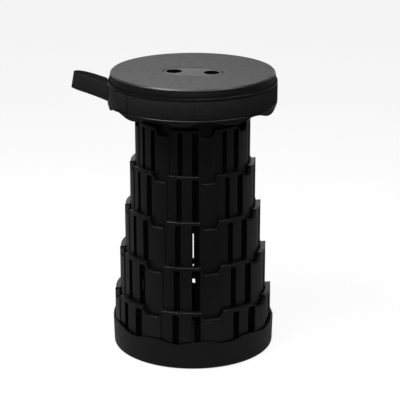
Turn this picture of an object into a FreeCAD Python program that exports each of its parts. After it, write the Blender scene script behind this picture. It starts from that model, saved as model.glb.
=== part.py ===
import FreeCAD, Part
import os
from math import acos, atan2, cos, hypot, radians, sin, sqrt

import Sketcher

# Collapsible telescopic stool: a seat drum on five nesting fluted rings in a base cup.
# Millimetres. The origin is the middle of the floor contact, +Z is up, and the front is
# towards -Y. Azimuths are in degrees from the front, growing towards +X.

Vector = FreeCAD.Vector

# Driving dimensions: name, value and what it measures.
DIMENSIONS = [
    ("cup_rim_radius", 125.0, "outside of the base cup at its rim"),
    ("cup_foot_radius", 123.8, "outside of the base cup at its foot"),
    ("cup_wall", 1.8, "wall of the base cup"),
    ("cup_rim_height", 43.0, "mean height of the wavy base rim"),
    ("cup_floor_low", 1.2, "underside of the base floor"),
    ("cup_floor_high", 4.0, "upper face of the base floor"),
    ("cup_wave_rise", 2.7, "rise and fall of the wavy base rim"),
    ("cup_wave_peak", 6.5, "azimuth where the base rim stands highest"),
    ("wave_count", 10, "waves round each rim"),
    ("ring_outer_radius", 87.6, "panel radius of the smallest fluted ring"),
    ("ring_radius_step", 8.5, "growth in radius from one ring to the next"),
    ("ring_height", 86.0, "height of every fluted ring"),
    ("stage_rise", 68.0, "height that one stage adds when it is pulled out"),
    ("ring_bore_depth", 6.0, "panel face to bore"),
    ("tab_recess", 1.2, "how far the tab face stands behind the panel face"),
    ("groove_depth", 4.2, "panel face to the back of an outer groove"),
    ("panel_wall", 2.4, "wall left behind the panels"),
    ("rib_back_depth", 3.4, "panel face to the hollow behind a rib"),
    ("dip_depth", 11.0, "depth of the notches in the crenellated top"),
    ("flute_count", 8, "tabs, lugs and channels round each ring"),
    ("flange_reach", 2.1, "how far the foot flange stands out"),
    ("flange_height", 3.0, "height of the foot flange"),
    ("lug_reach", 4.7, "how far a bayonet lug stands out"),
    ("lug_height", 4.0, "height of a bayonet lug"),
    ("lip_gap", 0.4, "gap between a top lip and the next smaller ring"),
    ("lip_height", 2.5, "height of the top lip"),
    ("seat_ring_radius", 79.1, "outside of the ring that hangs from the seat"),
    ("seat_ring_foot", 344.0, "height of the foot of the seat ring"),
    ("seat_ring_wall", 3.6, "wall of the seat ring"),
    ("drum_bore", 122.4, "inside of the seat drum"),
    ("drum_channel_radius", 125.2, "outside of the drum under the webbing"),
    ("drum_rim_radius", 126.7, "outside of the lips above and below the webbing"),
    ("drum_skirt_recess", 0.5, "how far the wavy skirt stands behind the lips"),
    ("drum_rim_height", 380.8, "mean height of the wavy drum rim"),
    ("drum_wave_rise", 3.3, "rise and fall of the wavy drum rim"),
    ("drum_wave_peak", 28.0, "azimuth where the drum rim hangs lowest"),
    ("channel_low", 387.4, "lower edge of the webbing channel"),
    ("channel_high", 414.8, "upper edge of the webbing channel"),
    ("deck_low", 417.5, "underside of the deck of the seat drum"),
    ("deck_high", 420.0, "upper face of the deck"),
    ("deck_bore", 62.0, "opening in the middle of the deck"),
    ("lid_radius", 123.1, "outside of the seat lid"),
    ("lid_draft", 1.0, "how much the lid narrows towards its top"),
    ("lid_gap_depth", 0.8, "depth of the shadow gap under the lid"),
    ("lid_wall", 3.2, "wall of the seat lid"),
    ("lid_plate", 3.0, "thickness of the top of the lid"),
    ("lid_shoulder", 1.8, "rounding of the lid edge"),
    ("lid_dish", 2.5, "depth of the shallow dish in the seat"),
    ("seat_height", 432.0, "top of the seat when pulled out"),
    ("insert_length", 90.0, "length of the oval hand-grip insert"),
    ("insert_width", 55.0, "width of the oval hand-grip insert"),
    ("insert_turn", -9.0, "turn of the insert about the upright axis"),
    ("insert_plate", 2.0, "thickness of the flush plate of the insert"),
    ("insert_gap", 0.3, "gap round the insert"),
    ("finger_radius", 12.0, "radius of a finger hole"),
    ("finger_spacing", 57.0, "distance between the finger holes"),
    ("finger_collar", 1.2, "wall of the collar under a finger hole"),
    ("finger_depth", 9.0, "depth of a finger hole collar"),
    ("webbing_width", 26.0, "width of the carrying strap"),
    ("webbing_thickness", 1.6, "thickness of the carrying strap"),
    ("webbing_low", 388.0, "lower edge of the carrying strap"),
    ("band_start", -101.5, "azimuth where the band meets the far leg of the loop"),
    ("band_end", -80.5, "azimuth where the band ends inside the keeper"),
    ("keeper_start", -82.0, "azimuth of the far end of the keeper"),
    ("keeper_end", -60.5, "azimuth of the near end of the keeper"),
    ("keeper_low", 384.2, "lower edge of the keeper"),
    ("keeper_high", 416.6, "upper edge of the keeper"),
    ("keeper_plate", 1.0, "thickness of the outer plate of the keeper"),
    ("tail_end", -48.0, "azimuth where the doubled tail of the webbing ends"),
    ("pin_radius", 1.1, "radius of the keeper pin"),
    ("pin_height", 20.6, "height of the keeper pin"),
    ("loop_end_x", -181.5, "centre of the turn of the carrying loop, along X"),
    ("loop_end_y", 68.0, "centre of the turn of the carrying loop, along Y"),
    ("loop_turn_radius", 7.0, "radius of the turn of the carrying loop"),
    ("pad_radius", 9.0, "radius of an anti-slip pad"),
    ("pad_circle", 98.0, "circle on which the pads lie"),
    ("pad_height", 2.2, "height of a pad, part of it let into the floor"),
    ("screw_radius", 1.5, "shank radius of the screws"),
    ("screw_head_radius", 3.0, "head radius of the screws"),
    ("ring_screw_azimuth", -18.75, "azimuth of the screws of rings and deck"),
    ("lid_screw_circle", 110.0, "circle of the lid screws"),
    ("lid_screw_azimuth", 22.5, "azimuth of the first lid screw"),
]

# Azimuths of the features of one flute: a tab with two ribs and two grooves, then a panel.
TAB = (-23.4, 6.0)
NARROW_GROOVE = (-14.6, -9.9)
WIDE_GROOVE = (-0.6, 5.4)
DIP_FOOT = (9.0, 19.6)
DIP_MOUTH = (6.2, 22.2)
CHANNEL = (6.9, 21.0)
LUG = (8.6, 19.4)
LOCK_POCKET = (20.6, 29.8)
RIB_HOLLOW = (-8.8, -1.6)

RING_NAMES = ["ring_1", "ring_2", "ring_3", "ring_4", "ring_5"]

# Through slit of each ring, the smallest ring first: azimuth and width.
SLITS = [(2.6, 1.8), (2.6, 1.8), (0.8, 2.8), (0.9, 4.4), (0.0, 5.0)]

STEP_FOLDER = "parts"

doc = FreeCAD.newDocument("TelescopicStool")
sheet = doc.addObject("Spreadsheet::Sheet", "Sizes")
for row, (name, value, meaning) in enumerate(DIMENSIONS, start=1):
    sheet.set("A%d" % row, name)
    sheet.set("B%d" % row, "%g" % value)
    sheet.set("C%d" % row, meaning)
    sheet.setAlias("B%d" % row, name)
doc.recompute()


class Size:
    """A number together with the sheet expression that gives it."""

    def __init__(self, value, text=None):
        self.value = float(value)
        self.text = text if text else "%.6g" % value
        self.driven = text is not None

    def combine(self, other, sign, result):
        other = as_size(other)
        joined = Size(result(self.value, other.value))
        joined.text = "(%s %s %s)" % (self.text, sign, other.text)
        joined.driven = self.driven or other.driven
        return joined

    def __add__(self, other):
        return self.combine(other, "+", lambda a, b: a + b)

    def __sub__(self, other):
        return self.combine(other, "-", lambda a, b: a - b)

    def __mul__(self, other):
        return self.combine(other, "*", lambda a, b: a * b)

    def __truediv__(self, other):
        return self.combine(other, "/", lambda a, b: a / b)

    def __neg__(self):
        return as_size(0) - self

    __radd__ = __add__
    __rmul__ = __mul__

    def __rsub__(self, other):
        return as_size(other) - self


def as_size(number):
    return number if isinstance(number, Size) else Size(number)


def sine(angle):
    angle = as_size(angle)
    result = Size(sin(radians(angle.value)))
    result.text = "sin(%s)" % angle.text
    result.driven = angle.driven
    return result


def cosine(angle):
    angle = as_size(angle)
    result = Size(cos(radians(angle.value)))
    result.text = "cos(%s)" % angle.text
    result.driven = angle.driven
    return result


D = {name: Size(value, "Sizes.%s" % name) for name, value, _ in DIMENSIONS}


def polar(radius, azimuth):
    """Point of the floor plan at a radius and an azimuth."""
    return radius * sine(azimuth), -(radius * cosine(azimuth))


# Sketches and features

def origin_feature(body, role):
    for feature in body.Origin.OriginFeatures:
        if feature.Role == role:
            return feature
    raise ValueError(role)


def bind(item, path, size):
    size = as_size(size)
    if size.driven:
        item.setExpression(path, size.text)


def arc_between(start, end, radius):
    """Arc of less than half a turn; a positive radius turns left on the way to the end."""
    chord = end - start
    half = chord.Length / 2
    left = Vector(-chord.y, chord.x, 0).normalize()
    side = 1 if radius > 0 else -1
    centre = (start + end) / 2 + left * side * sqrt(max(radius * radius - half * half, 0))
    first, last = (start, end) if radius > 0 else (end, start)
    angles = [atan2(point.y - centre.y, point.x - centre.x) for point in (first, last)]
    circle = Part.Circle(centre, Vector(0, 0, 1), abs(radius))
    return Part.ArcOfCircle(circle, angles[0], angles[1])


def draw_outline(sketch, corners):
    """Closed outline; a corner (x, y, radius) is reached along an arc of that radius."""
    corners = [tuple(as_size(number) for number in corner) for corner in corners]
    points = [Vector(corner[0].value, corner[1].value, 0) for corner in corners]
    sides = []
    for index, corner in enumerate(corners):
        start, end = points[index - 1], points[index]
        bent = len(corner) > 2
        radius = corner[2].value if bent else 0
        shape = arc_between(start, end, radius) if bent else Part.LineSegment(start, end)
        number = sketch.addGeometry(shape, False)
        turned = bent and radius < 0
        sides.append((number, 2 if turned else 1, 1 if turned else 2))
        if bent:
            size = corner[2] if radius > 0 else -corner[2]
            place = sketch.addConstraint(Sketcher.Constraint("Radius", number, abs(radius)))
            bind(sketch, "Constraints[%d]" % place, size)
    for index, corner in enumerate(corners):
        number, _, tail = sides[index]
        following, head, _ = sides[(index + 1) % len(sides)]
        sketch.addConstraint(Sketcher.Constraint("Coincident", number, tail, following, head))
        for kind, size in (("DistanceX", corner[0]), ("DistanceY", corner[1])):
            rule = Sketcher.Constraint(kind, -1, 1, number, tail, size.value)
            place = sketch.addConstraint(rule)
            bind(sketch, "Constraints[%d]" % place, size)


def draw_circle(sketch, x, y, radius):
    x, y, radius = as_size(x), as_size(y), as_size(radius)
    circle = Part.Circle(Vector(x.value, y.value, 0), Vector(0, 0, 1), radius.value)
    number = sketch.addGeometry(circle, False)
    rules = [
        (Sketcher.Constraint("Radius", number, radius.value), radius),
        (Sketcher.Constraint("DistanceX", -1, 1, number, 3, x.value), x),
        (Sketcher.Constraint("DistanceY", -1, 1, number, 3, y.value), y),
    ]
    for rule, size in rules:
        place = sketch.addConstraint(rule)
        bind(sketch, "Constraints[%d]" % place, size)


def new_body(name, height=0):
    body = doc.addObject("PartDesign::Body", name)
    body.Label = name
    height = as_size(height)
    body.Placement = FreeCAD.Placement(Vector(0, 0, height.value), FreeCAD.Rotation())
    bind(body, "Placement.Base.z", height)
    return body


def new_sketch(body, name, role):
    sketch = body.newObject("Sketcher::SketchObject", "%s_%s" % (body.Name, name))
    sketch.AttachmentSupport = [(origin_feature(body, role), "")]
    sketch.MapMode = "FlatFace"
    return sketch


def level_sketch(body, name, height=0):
    """Sketch in a level plane at a height."""
    sketch = new_sketch(body, name, "XY_Plane")
    height = as_size(height)
    sketch.AttachmentOffset = FreeCAD.Placement(Vector(0, 0, height.value), FreeCAD.Rotation())
    bind(sketch, "AttachmentOffset.Base.z", height)
    return sketch


def facing_sketch(body, name, azimuth, distance):
    """Upright sketch that faces outwards at an azimuth, at a distance from the axis."""
    sketch = new_sketch(body, name, "XZ_Plane")
    azimuth, distance = as_size(azimuth), as_size(distance)
    aside, ahead = distance * sine(azimuth), distance * cosine(azimuth)
    turn = FreeCAD.Rotation(Vector(0, 1, 0), azimuth.value)
    sketch.AttachmentOffset = FreeCAD.Placement(Vector(aside.value, 0, ahead.value), turn)
    bind(sketch, "AttachmentOffset.Base.x", aside)
    bind(sketch, "AttachmentOffset.Base.z", ahead)
    return sketch


def section_sketch(body, name, corners):
    """Half section, radius along X and height along Z."""
    sketch = new_sketch(body, name, "XZ_Plane")
    draw_outline(sketch, corners)
    return sketch


def sector(inner, outer, azimuths):
    """Outline of a piece of an annulus between two azimuths."""
    start, end = azimuths
    x1, y1 = polar(inner, start)
    x2, y2 = polar(outer, start)
    x3, y3 = polar(outer, end)
    x4, y4 = polar(inner, end)
    return [(x1, y1, -inner), (x2, y2), (x3, y3, outer), (x4, y4)]


def revolve(body, sketch, angle=360):
    feature = body.newObject("PartDesign::Revolution", body.Name + "_turned")
    feature.Profile = sketch
    feature.ReferenceAxis = (sketch, ["V_Axis"])
    feature.Angle = angle
    return feature


def extrude(body, kind, sketch, length, reverse=False):
    feature = body.newObject("PartDesign::" + kind, sketch.Name + "_" + kind.lower())
    feature.Profile = sketch
    length = as_size(length)
    feature.Length = length.value
    bind(feature, "Length", length)
    feature.Reversed = reverse
    return feature


def repeat(body, features, count):
    """The features repeated evenly round the upright axis."""
    pattern = body.newObject("PartDesign::PolarPattern", body.Name + "_round")
    pattern.Originals = features
    pattern.Axis = (origin_feature(body, "Z_Axis"), [""])
    pattern.Angle = 360
    pattern.Occurrences = int(as_size(count).value)
    bind(pattern, "Occurrences", count)
    body.Tip = pattern
    return pattern


def cut_sector(body, name, inner, outer, azimuths, low, high):
    """Pocket of annular plan from one height up to another."""
    sketch = level_sketch(body, name, low)
    draw_outline(sketch, sector(inner, outer, azimuths))
    return extrude(body, "Pocket", sketch, as_size(high) - low, reverse=True)


def raise_sector(body, name, inner, outer, azimuths, low, high):
    sketch = level_sketch(body, name, low)
    draw_outline(sketch, sector(inner, outer, azimuths))
    return extrude(body, "Pad", sketch, as_size(high) - low)


def middle(azimuths):
    return (azimuths[0] + azimuths[1]) / 2


def half_width(radius, azimuths):
    return radius * sine((azimuths[1] - azimuths[0]) / 2)


def cut_window(body, name, azimuth, radius, half, low, high, arch, depth):
    """Pocket cut inwards from a radius, its top corners rounded by the arch radius."""
    sketch = facing_sketch(body, name, azimuth, radius)
    draw_outline(sketch, [
        (-half, low),
        (half, low),
        (half, high - arch),
        (half - arch, high, arch),
        (-half + arch, high),
        (-half, high - arch, arch),
    ])
    return extrude(body, "Pocket", sketch, depth)


# Fluted rings

def make_ring(number):
    """Nesting ring with a crenellated top, fluted tabs, slits, lugs and inner channels."""
    body_name = RING_NAMES[number - 1]
    steps = len(RING_NAMES) - number
    body = new_body(body_name, D["cup_floor_high"] + D["stage_rise"] * steps)
    panel = D["ring_outer_radius"] + D["ring_radius_step"] * (number - 1)
    tall = D["ring_height"]
    bore = panel - D["ring_bore_depth"]
    smaller = panel - D["ring_radius_step"]
    lip = smaller + D["lip_gap"]
    outermost = number == len(RING_NAMES)
    foot_reach = panel if outermost else panel + D["flange_reach"]
    tab_face = panel - D["tab_recess"]
    inside = bore - 1
    outside = panel + 8

    lip_foot = tall - D["lip_height"]
    section = section_sketch(body, "section", [
        (bore, 0),
        (foot_reach, 0),
        (foot_reach, D["flange_height"]),
        (panel, D["flange_height"] + 1.5),
        (panel, tall),
        (lip, tall),
        (lip, lip_foot),
        (bore, lip_foot - (bore - lip)),
    ])
    revolve(body, section)

    flute_foot = D["flange_height"] + 3
    flute_top = tall - 5
    recess = cut_sector(body, "tab_face", tab_face, outside, TAB, flute_foot - 1.5, tall + 1)
    grooves = []
    groove_cut = D["groove_depth"] + 1
    for name, span in (("narrow_groove", NARROW_GROOVE), ("wide_groove", WIDE_GROOVE)):
        half = half_width(panel, span)
        grooves.append(cut_window(body, name, middle(span), panel + 1, half, flute_foot,
                                  flute_top, as_size(2), groove_cut))
    slit_azimuth, slit_width = SLITS[number - 1]
    slit = cut_window(body, "slit", slit_azimuth, panel + 1, as_size(slit_width) / 2,
                      flute_foot + 2, flute_top - 5, as_size(0.7), D["ring_bore_depth"] + 4)

    dip_floor = tall - D["dip_depth"]
    dip = facing_sketch(body, "dip", middle(DIP_FOOT), outside)
    foot_half = half_width(panel, DIP_FOOT)
    mouth_half = half_width(panel, DIP_MOUTH)
    draw_outline(dip, [
        (-foot_half, dip_floor),
        (foot_half, dip_floor),
        (mouth_half, tall - 3),
        (mouth_half, tall + 1),
        (-mouth_half, tall + 1),
        (-mouth_half, tall - 3),
    ])
    notch = extrude(body, "Pocket", dip, D["ring_radius_step"] + 14)

    lug_low = D["stage_rise"]
    stop = lug_low + D["lug_height"] + 0.3
    channel = cut_sector(body, "channel", inside, panel - D["panel_wall"], CHANNEL,
                         as_size(-1), stop)
    pocket = cut_sector(body, "lock_pocket", inside, panel - D["rib_back_depth"],
                        LOCK_POCKET, lug_low - 0.3, stop)
    hollow = cut_sector(body, "rib_hollow", inside, panel - D["rib_back_depth"],
                        RIB_HOLLOW, as_size(-1), tall - 9)
    repeated = [recess, *grooves, slit, notch, channel, pocket, hollow]
    if outermost:
        x, y = polar(ring_screw_circle(), D["ring_screw_azimuth"])
        pilot = level_sketch(body, "pilot", -1)
        draw_circle(pilot, x, y, D["screw_radius"] + 0.05)
        repeated.append(extrude(body, "Pocket", pilot, 11.5, reverse=True))
    else:
        lug = raise_sector(body, "lug", panel - 1.5, panel + D["lug_reach"], LUG,
                           as_size(0), D["lug_height"])
        repeated.append(lug)
    repeat(body, repeated, D["flute_count"])
    return body


# Base

def cut_wave(body, name, radius, mean, rise, peak, low_side):
    """One wave of a rim: all that lies beyond the curve is cut away."""
    turn = as_size(360) / D["wave_count"]
    trough = peak + turn / 2
    run = radius * sine(turn / 2)
    bend = (run * run / rise + rise * 4) / 8
    way = -1 if low_side else 1
    beyond = mean + rise * (way * 3)
    inner = mean - rise * way
    outer = mean + rise * way
    sketch = facing_sketch(body, name, trough, radius + 2)
    half_run = run / 2
    corners = [
        (-run, outer),
        (-half_run, mean, bend * -way),
        (0, inner, bend * way),
        (half_run, mean, bend * way),
        (run, outer, bend * -way),
        (run, beyond),
        (-run, beyond),
    ]
    draw_outline(sketch, corners)
    return extrude(body, "Pocket", sketch, 14)


def make_base_cup():
    """Shallow cup with a wavy rim, let-in pads and countersunk screw holes."""
    body = new_body("base_cup")
    rim, foot, wall = D["cup_rim_radius"], D["cup_foot_radius"], D["cup_wall"]
    low, high = D["cup_floor_low"], D["cup_floor_high"]
    crest = D["cup_rim_height"] + D["cup_wave_rise"]
    edge = as_size(2.4)
    section = section_sketch(body, "section", [
        (0, low),
        (foot - edge, low),
        (foot, low + edge, edge),
        (rim, crest),
        (rim - wall, crest),
        (foot - wall, high),
        (0, high),
    ])
    revolve(body, section)
    wave = cut_wave(body, "wave", rim, D["cup_rim_height"], D["cup_wave_rise"],
                    D["cup_wave_peak"], low_side=False)
    repeat(body, [wave], D["wave_count"])

    middle_seat = level_sketch(body, "middle_pad_seat", low - 1)
    draw_circle(middle_seat, 0, 0, D["pad_radius"] + 0.2)
    extrude(body, "Pocket", middle_seat, D["pad_height"] - low + 1, reverse=True)
    x, y = polar(D["pad_circle"], as_size(0))
    pad_sketch = level_sketch(body, "pad_seats", low - 1)
    draw_circle(pad_sketch, x, y, D["pad_radius"] + 0.2)
    pad_seat = extrude(body, "Pocket", pad_sketch, D["pad_height"] - low + 1, reverse=True)
    x, y = polar(ring_screw_circle(), D["ring_screw_azimuth"])
    hole_sketch = level_sketch(body, "screw_holes", low - 1)
    draw_circle(hole_sketch, x, y, D["screw_radius"] + 0.2)
    hole = extrude(body, "Pocket", hole_sketch, high + 2, reverse=True)
    head_sketch = level_sketch(body, "head_seats", low - 1)
    draw_circle(head_sketch, x, y, D["screw_head_radius"] + 0.3)
    head = extrude(body, "Pocket", head_sketch, as_size(2.6), reverse=True)
    round_holes = body.newObject("PartDesign::PolarPattern", "base_cup_holes_round")
    round_holes.Originals = [pad_seat, hole, head]
    round_holes.Axis = (origin_feature(body, "Z_Axis"), [""])
    round_holes.Angle = 360
    round_holes.Occurrences = int(D["flute_count"].value)
    bind(round_holes, "Occurrences", D["flute_count"])
    body.Tip = round_holes
    return body


def ring_screw_circle():
    """Circle through the thick ribs of the largest ring."""
    largest = D["ring_outer_radius"] + D["ring_radius_step"] * (len(RING_NAMES) - 1)
    return largest - (D["tab_recess"] + D["ring_bore_depth"]) / 2


def make_pads():
    """Anti-slip pads under the base: one in the middle and a circle of them near the edge."""
    x, y = polar(D["pad_circle"], as_size(0))
    return make_round_group("foot_pads", x, y, [
        (0, 0),
        (D["pad_radius"] - 0.6, 0),
        (D["pad_radius"], 0.6),
        (D["pad_radius"], D["pad_height"]),
        (0, D["pad_height"]),
    ], D["flute_count"].value, 0, with_middle=True)


def make_round_group(name, x, y, corners, count, height, with_middle=False):
    """Equal turned pieces spread round the upright axis, each a separate solid."""
    values = [(as_size(r).value, as_size(z).value) for r, z in corners]
    rim = [Vector(r, 0, z) for r, z in values]
    face = Part.Face(Part.makePolygon(rim + [rim[0]]))
    turned = face.revolve(Vector(0, 0, 0), Vector(0, 0, 1), 360)
    pieces = [turned.copy()] if with_middle else []
    turned.translate(Vector(as_size(x).value, as_size(y).value, 0))
    for index in range(int(count)):
        piece = turned.copy()
        piece.rotate(Vector(0, 0, 0), Vector(0, 0, 1), 360.0 * index / count)
        pieces.append(piece)
    group = doc.addObject("Part::Feature", name)
    group.Label = name
    group.Shape = Part.makeCompound(pieces)
    group.Placement = FreeCAD.Placement(Vector(0, 0, as_size(height).value),
                                        FreeCAD.Rotation())
    return group


def screw_section(length, head):
    """Half section of a screw that points up, from its head at the foot."""
    shank, cap = D["screw_radius"], D["screw_head_radius"]
    return [
        (0, 0),
        (cap, 0),
        (cap, head),
        (shank, head),
        (shank, length - 1.5),
        (0, length),
    ]


# Seat

def make_seat_ring():
    """Ring fixed under the seat deck that slides in the smallest fluted ring."""
    foot = D["seat_ring_foot"]
    body = new_body("seat_ring", foot)
    outer = D["seat_ring_radius"]
    tall = D["deck_low"] - foot
    bore = outer - D["seat_ring_wall"]
    collar = outer - 10
    section = section_sketch(body, "section", [
        (bore, 0),
        (outer + D["flange_reach"], 0),
        (outer + D["flange_reach"], D["flange_height"]),
        (outer, D["flange_height"] + 1.5),
        (outer, tall),
        (collar, tall),
        (collar, tall - 8),
        (bore, tall - 14),
    ])
    revolve(body, section)
    lug = raise_sector(body, "lug", outer - 1.5, outer + D["lug_reach"], LUG, as_size(0),
                       D["lug_height"])
    half = half_width(outer, WIDE_GROOVE)
    groove = cut_window(body, "groove", middle(WIDE_GROOVE), outer + 1, half,
                        D["flange_height"] + 4, tall - 16, as_size(2), 2.4)
    x, y = polar(seat_ring_screw_circle(), D["ring_screw_azimuth"])
    pilot = level_sketch(body, "pilots", tall - 8)
    draw_circle(pilot, x, y, D["screw_radius"] + 0.05)
    hole = extrude(body, "Pocket", pilot, 9, reverse=True)
    repeat(body, [lug, groove, hole], D["flute_count"])
    return body


def seat_ring_screw_circle():
    return D["seat_ring_radius"] - 5


def make_seat_drum():
    """Drum with a wavy rim, a webbing channel round it and a deck across its top."""
    body = new_body("seat_drum")
    bore, channel, rim = D["drum_bore"], D["drum_channel_radius"], D["drum_rim_radius"]
    skirt = rim - D["drum_skirt_recess"]
    foot = D["drum_rim_height"] - D["drum_wave_rise"]
    ledge = D["channel_low"] - 1.5
    section = section_sketch(body, "section", [
        (bore, foot),
        (skirt, foot),
        (skirt, ledge - 1.2),
        (rim, ledge - 0.6),
        (rim, ledge),
        (channel, D["channel_low"]),
        (channel, D["channel_high"]),
        (rim, D["channel_high"] + 0.6),
        (rim, D["deck_high"] - 1.8),
        (rim - 1.8, D["deck_high"], 1.8),
        (D["deck_bore"], D["deck_high"]),
        (D["deck_bore"], D["deck_low"]),
        (bore, D["deck_low"]),
    ])
    revolve(body, section)
    wave = cut_wave(body, "wave", rim, D["drum_rim_height"], D["drum_wave_rise"],
                    D["drum_wave_peak"], low_side=True)
    repeat(body, [wave], D["wave_count"])
    low = D["deck_low"] - 1
    through = D["deck_high"] - D["deck_low"] + 2
    features = []
    for name, circle, azimuth in (
            ("ring_holes", seat_ring_screw_circle(), D["ring_screw_azimuth"]),
            ("lid_holes", D["lid_screw_circle"], D["lid_screw_azimuth"])):
        x, y = polar(circle, azimuth)
        sketch = level_sketch(body, name, low)
        draw_circle(sketch, x, y, D["screw_radius"] + 0.2)
        features.append(extrude(body, "Pocket", sketch, through, reverse=True))
    x, y = polar(D["lid_screw_circle"], D["lid_screw_azimuth"])
    sketch = level_sketch(body, "head_seats", low)
    draw_circle(sketch, x, y, D["screw_head_radius"] + 0.3)
    features.append(extrude(body, "Pocket", sketch, as_size(2.2), reverse=True))
    pattern = body.newObject("PartDesign::PolarPattern", "seat_drum_holes_round")
    pattern.Originals = features
    pattern.Axis = (origin_feature(body, "Z_Axis"), [""])
    pattern.Angle = 360
    pattern.Occurrences = int(D["flute_count"].value)
    bind(pattern, "Occurrences", D["flute_count"])
    body.Tip = pattern
    return body


def oval(length, width, turn):
    """Oval outline of four tangent arcs: flat along its sides and round at its ends."""
    a, b = length / 2, width / 2
    end_radius = b * 0.72
    reach = a - end_radius
    side_radius = (reach * reach + b * b - end_radius * end_radius) / ((b - end_radius) * 2)
    drop = side_radius - b
    scale = side_radius / (side_radius - end_radius)
    tip_x, tip_y = reach * scale, drop * (scale - 1)
    corners = []
    for x, y, radius in ((tip_x, -tip_y, side_radius), (tip_x, tip_y, end_radius),
                         (-tip_x, tip_y, side_radius), (-tip_x, -tip_y, end_radius)):
        across = x * cosine(turn) - y * sine(turn)
        along = x * sine(turn) + y * cosine(turn)
        corners.append((across, along, radius))
    return corners


def dish_radius(reach, depth):
    """Radius of a shallow dish from its reach and its depth."""
    return (reach * reach + depth * depth) / (depth * 2)


def make_seat_lid():
    """Dished round cap with ribs and screw bosses below, let in for the grip insert."""
    body = new_body("seat_lid")
    outer, wall, top = D["lid_radius"], D["lid_wall"], D["seat_height"]
    shoulder = D["lid_shoulder"]
    brow = outer - D["lid_draft"]
    gap_face = outer - D["lid_gap_depth"]
    dish = D["lid_dish"]
    ceiling = top - D["lid_plate"]
    deck = D["deck_high"]
    section = section_sketch(body, "section", [
        (0, ceiling - dish),
        (outer - wall - 1, ceiling, dish_radius(outer - wall - 1, dish)),
        (outer - wall, ceiling - 1),
        (outer - wall, deck),
        (gap_face, deck),
        (gap_face, deck + 2),
        (outer, deck + 3),
        (brow, top - shoulder),
        (brow - shoulder, top, shoulder),
        (0, top - dish, -dish_radius(brow - shoulder, dish)),
    ])
    revolve(body, section)
    rib = level_sketch(body, "rib", deck + 2.4)
    draw_outline(rib, [(-1, -(outer - wall)), (1, -(outer - wall)), (1, -58), (-1, -58)])
    ribs = extrude(body, "Pad", rib, ceiling - deck - 2.4)
    x, y = polar(D["lid_screw_circle"], D["lid_screw_azimuth"])
    boss_sketch = level_sketch(body, "boss", deck)
    draw_circle(boss_sketch, x, y, D["screw_radius"] + 2.4)
    boss = extrude(body, "Pad", boss_sketch, ceiling - deck + 0.5)
    pilot_sketch = level_sketch(body, "pilot", deck - 1)
    draw_circle(pilot_sketch, x, y, D["screw_radius"] + 0.05)
    pilot = extrude(body, "Pocket", pilot_sketch, ceiling - deck + 1, reverse=True)
    repeat(body, [ribs, boss, pilot], D["flute_count"])

    gap, turn = D["insert_gap"], D["insert_turn"]
    length, width = D["insert_length"], D["insert_width"]
    ledge = level_sketch(body, "ledge", top + 1)
    draw_outline(ledge, oval(length + gap * 2, width + gap * 2, turn))
    extrude(body, "Pocket", ledge, D["insert_plate"] + dish + 1)
    opening = level_sketch(body, "opening", top + 1)
    draw_outline(opening, oval(length - 6, width - 6, turn))
    body.Tip = extrude(body, "Pocket", opening, D["lid_plate"] + dish + 2)
    return body


def make_insert():
    """Flush oval plate with two finger holes in collars and a skirt that snaps in the lid."""
    body = new_body("grip_insert")
    top, turn = D["seat_height"] - D["lid_dish"], D["insert_turn"]
    length, width = D["insert_length"], D["insert_width"]
    plate = level_sketch(body, "plate", top - D["insert_plate"])
    draw_outline(plate, oval(length, width, turn))
    extrude(body, "Pad", plate, D["insert_plate"])
    skirt_low = top - D["finger_depth"]
    clear = D["insert_gap"] * 2 + 6
    skirt = level_sketch(body, "skirt", skirt_low)
    draw_outline(skirt, oval(length - clear, width - clear, turn))
    extrude(body, "Pad", skirt, D["finger_depth"] - D["insert_plate"])
    centres = []
    for side in (-1, 1):
        reach = D["finger_spacing"] * (side / 2)
        centres.append((reach * cosine(turn), reach * sine(turn)))
    collar = D["finger_radius"] + D["finger_collar"]
    inner = level_sketch(body, "hollow", skirt_low - 1)
    draw_outline(inner, oval(length - clear - 4, width - clear - 4, turn))
    extrude(body, "Pocket", inner, D["finger_depth"] - D["insert_plate"] - 0.6 + 1,
            reverse=True)
    for number, (x, y) in enumerate(centres, start=1):
        ring = level_sketch(body, "collar_%d" % number, skirt_low)
        draw_circle(ring, x, y, collar)
        extrude(body, "Pad", ring, D["finger_depth"] - 0.5)
    for number, (x, y) in enumerate(centres, start=1):
        hole = level_sketch(body, "finger_hole_%d" % number, skirt_low - 1)
        draw_circle(hole, x, y, D["finger_radius"])
        body.Tip = extrude(body, "Pocket", hole, D["finger_depth"] + 2, reverse=True)
    return body


# Carrying strap

def make_band():
    """Webbing round the drum, open where the loop leaves it, its tail doubled by the keeper."""
    body = new_body("strap_band")
    inner = D["drum_channel_radius"] + 0.1
    outer = inner + D["webbing_thickness"]
    sketch = level_sketch(body, "plan", D["webbing_low"])
    start, end = D["band_end"], D["band_start"] + 360
    stops = [start, start + 87, start + 174, start + 261, end]
    corners = []
    for stop in stops:
        x, y = polar(outer, stop)
        corners.append((x, y, outer) if corners else (x, y))
    for stop in reversed(stops):
        x, y = polar(inner, stop)
        corners.append((x, y) if stop is end else (x, y, -inner))
    draw_outline(sketch, corners)
    extrude(body, "Pad", sketch, D["webbing_width"])
    tail = (D["keeper_end"] + 0.4, D["tail_end"])
    body.Tip = raise_sector(body, "tail", outer - 0.2, outer + D["webbing_thickness"] - 0.2,
                            tail, D["webbing_low"], D["webbing_low"] + D["webbing_width"])
    return body


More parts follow.
